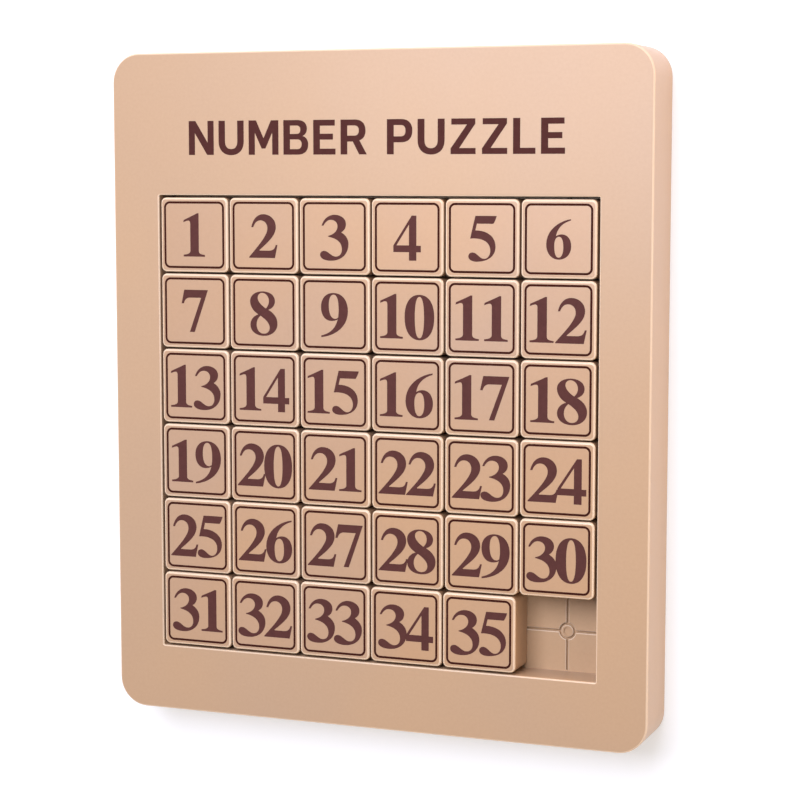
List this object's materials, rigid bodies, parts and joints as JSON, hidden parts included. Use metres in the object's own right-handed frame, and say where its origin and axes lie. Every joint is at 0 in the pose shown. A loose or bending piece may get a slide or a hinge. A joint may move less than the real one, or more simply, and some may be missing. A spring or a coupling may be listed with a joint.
{
  "type": "sliding tile puzzle",
  "caption": "Flat tray-shaped number puzzle: square magnetic tiles fill a deep square pocket but for one empty cell, which a neighbouring tile can slide into.",
  "frame": {"origin": "middle of the back face, which is the face that it lies on", "axes": "+Z out of the puzzle's face, +Y towards its title end, the long way, and +X to the right as the numbers read"},
  "size_m": [0.135, 0.1604, 0.016],
  "materials": {
    "frame_plastic": "wood-coloured ABS, fine satin",
    "floor_plastic": "wood-coloured ABS, satin",
    "cover_plastic": "wood-coloured ABS, matte",
    "tile_plastic": "wood-coloured ABS, smooth satin",
    "print_ink": "flat dark brown printing ink",
    "nickel": "nickel-plated",
    "screw_steel": "zinc-plated"
  },
  "bodies": {
    "tray": {"front_frame": "frame_plastic", "tray_floor": "floor_plastic", "tray_magnets": "nickel", "back_cover": "cover_plastic", "cover_screws": "screw_steel"},
    "number_tile_01": {"tile_01": "tile_plastic"},
    "number_tile_02": {"tile_02": "tile_plastic"},
    "number_tile_03": {"tile_03": "tile_plastic"},
    "number_tile_04": {"tile_04": "tile_plastic"},
    "number_tile_05": {"tile_05": "tile_plastic"},
    "number_tile_06": {"tile_06": "tile_plastic"},
    "number_tile_07": {"tile_07": "tile_plastic"},
    "number_tile_08": {"tile_08": "tile_plastic"},
    "number_tile_09": {"tile_09": "tile_plastic"},
    "number_tile_10": {"tile_10": "tile_plastic"},
    "number_tile_11": {"tile_11": "tile_plastic"},
    "number_tile_12": {"tile_12": "tile_plastic"},
    "number_tile_13": {"tile_13": "tile_plastic"},
    "number_tile_14": {"tile_14": "tile_plastic"},
    "number_tile_15": {"tile_15": "tile_plastic"},
    "number_tile_16": {"tile_16": "tile_plastic"},
    "number_tile_17": {"tile_17": "tile_plastic"},
    "number_tile_18": {"tile_18": "tile_plastic"},
    "number_tile_19": {"tile_19": "tile_plastic"},
    "number_tile_20": {"tile_20": "tile_plastic"},
    "number_tile_21": {"tile_21": "tile_plastic"},
    "number_tile_22": {"tile_22": "tile_plastic"},
    "number_tile_23": {"tile_23": "tile_plastic"},
    "number_tile_24": {"tile_24": "tile_plastic"},
    "number_tile_25": {"tile_25": "tile_plastic"},
    "number_tile_26": {"tile_26": "tile_plastic"},
    "number_tile_27": {"tile_27": "tile_plastic"},
    "number_tile_28": {"tile_28": "tile_plastic"},
    "number_tile_29": {"tile_29": "tile_plastic"},
    "number_tile_30": {"tile_30": "tile_plastic"},
    "number_tile_31": {"tile_31": "tile_plastic"},
    "number_tile_32": {"tile_32": "tile_plastic"},
    "number_tile_33": {"tile_33": "tile_plastic"},
    "number_tile_34": {"tile_34": "tile_plastic"},
    "number_tile_35": {"tile_35": "tile_plastic"}
  },
  "joints": [
    {"name": "slide_30_down", "type": "slide", "parent": "tray", "child": "number_tile_30", "axis": [0, 1, 0], "range_m": [-0.01854, 0]},
    {"name": "slide_35_right", "type": "slide", "parent": "tray", "child": "number_tile_35", "axis": [1, 0, 0], "range_m": [0, 0.01875]},
    {"name": "tile_01_lift", "type": "slide", "parent": "tray", "child": "number_tile_01", "axis": [0, 0, 1], "range_m": [0, 0.01]},
    {"name": "tile_02_lift", "type": "slide", "parent": "tray", "child": "number_tile_02", "axis": [0, 0, 1], "range_m": [0, 0.01]},
    {"name": "tile_03_lift", "type": "slide", "parent": "tray", "child": "number_tile_03", "axis": [0, 0, 1], "range_m": [0, 0.01]},
    {"name": "tile_04_lift", "type": "slide", "parent": "tray", "child": "number_tile_04", "axis": [0, 0, 1], "range_m": [0, 0.01]},
    {"name": "tile_05_lift", "type": "slide", "parent": "tray", "child": "number_tile_05", "axis": [0, 0, 1], "range_m": [0, 0.01]},
    {"name": "tile_06_lift", "type": "slide", "parent": "tray", "child": "number_tile_06", "axis": [0, 0, 1], "range_m": [0, 0.01]},
    {"name": "tile_07_lift", "type": "slide", "parent": "tray", "child": "number_tile_07", "axis": [0, 0, 1], "range_m": [0, 0.01]},
    {"name": "tile_08_lift", "type": "slide", "parent": "tray", "child": "number_tile_08", "axis": [0, 0, 1], "range_m": [0, 0.01]},
    {"name": "tile_09_lift", "type": "slide", "parent": "tray", "child": "number_tile_09", "axis": [0, 0, 1], "range_m": [0, 0.01]},
    {"name": "tile_10_lift", "type": "slide", "parent": "tray", "child": "number_tile_10", "axis": [0, 0, 1], "range_m": [0, 0.01]},
    {"name": "tile_11_lift", "type": "slide", "parent": "tray", "child": "number_tile_11", "axis": [0, 0, 1], "range_m": [0, 0.01]},
    {"name": "tile_12_lift", "type": "slide", "parent": "tray", "child": "number_tile_12", "axis": [0, 0, 1], "range_m": [0, 0.01]},
    {"name": "tile_13_lift", "type": "slide", "parent": "tray", "child": "number_tile_13", "axis": [0, 0, 1], "range_m": [0, 0.01]},
    {"name": "tile_14_lift", "type": "slide", "parent": "tray", "child": "number_tile_14", "axis": [0, 0, 1], "range_m": [0, 0.01]},
    {"name": "tile_15_lift", "type": "slide", "parent": "tray", "child": "number_tile_15", "axis": [0, 0, 1], "range_m": [0, 0.01]},
    {"name": "tile_16_lift", "type": "slide", "parent": "tray", "child": "number_tile_16", "axis": [0, 0, 1], "range_m": [0, 0.01]},
    {"name": "tile_17_lift", "type": "slide", "parent": "tray", "child": "number_tile_17", "axis": [0, 0, 1], "range_m": [0, 0.01]},
    {"name": "tile_18_lift", "type": "slide", "parent": "tray", "child": "number_tile_18", "axis": [0, 0, 1], "range_m": [0, 0.01]},
    {"name": "tile_19_lift", "type": "slide", "parent": "tray", "child": "number_tile_19", "axis": [0, 0, 1], "range_m": [0, 0.01]},
    {"name": "tile_20_lift", "type": "slide", "parent": "tray", "child": "number_tile_20", "axis": [0, 0, 1], "range_m": [0, 0.01]},
    {"name": "tile_21_lift", "type": "slide", "parent": "tray", "child": "number_tile_21", "axis": [0, 0, 1], "range_m": [0, 0.01]},
    {"name": "tile_22_lift", "type": "slide", "parent": "tray", "child": "number_tile_22", "axis": [0, 0, 1], "range_m": [0, 0.01]},
    {"name": "tile_23_lift", "type": "slide", "parent": "tray", "child": "number_tile_23", "axis": [0, 0, 1], "range_m": [0, 0.01]},
    {"name": "tile_24_lift", "type": "slide", "parent": "tray", "child": "number_tile_24", "axis": [0, 0, 1], "range_m": [0, 0.01]},
    {"name": "tile_25_lift", "type": "slide", "parent": "tray", "child": "number_tile_25", "axis": [0, 0, 1], "range_m": [0, 0.01]},
    {"name": "tile_26_lift", "type": "slide", "parent": "tray", "child": "number_tile_26", "axis": [0, 0, 1], "range_m": [0, 0.01]},
    {"name": "tile_27_lift", "type": "slide", "parent": "tray", "child": "number_tile_27", "axis": [0, 0, 1], "range_m": [0, 0.01]},
    {"name": "tile_28_lift", "type": "slide", "parent": "tray", "child": "number_tile_28", "axis": [0, 0, 1], "range_m": [0, 0.01]},
    {"name": "tile_29_lift", "type": "slide", "parent": "tray", "child": "number_tile_29", "axis": [0, 0, 1], "range_m": [0, 0.01]},
    {"name": "tile_31_lift", "type": "slide", "parent": "tray", "child": "number_tile_31", "axis": [0, 0, 1], "range_m": [0, 0.01]},
    {"name": "tile_32_lift", "type": "slide", "parent": "tray", "child": "number_tile_32", "axis": [0, 0, 1], "range_m": [0, 0.01]},
    {"name": "tile_33_lift", "type": "slide", "parent": "tray", "child": "number_tile_33", "axis": [0, 0, 1], "range_m": [0, 0.01]},
    {"name": "tile_34_lift", "type": "slide", "parent": "tray", "child": "number_tile_34", "axis": [0, 0, 1], "range_m": [0, 0.01]}
  ]
}
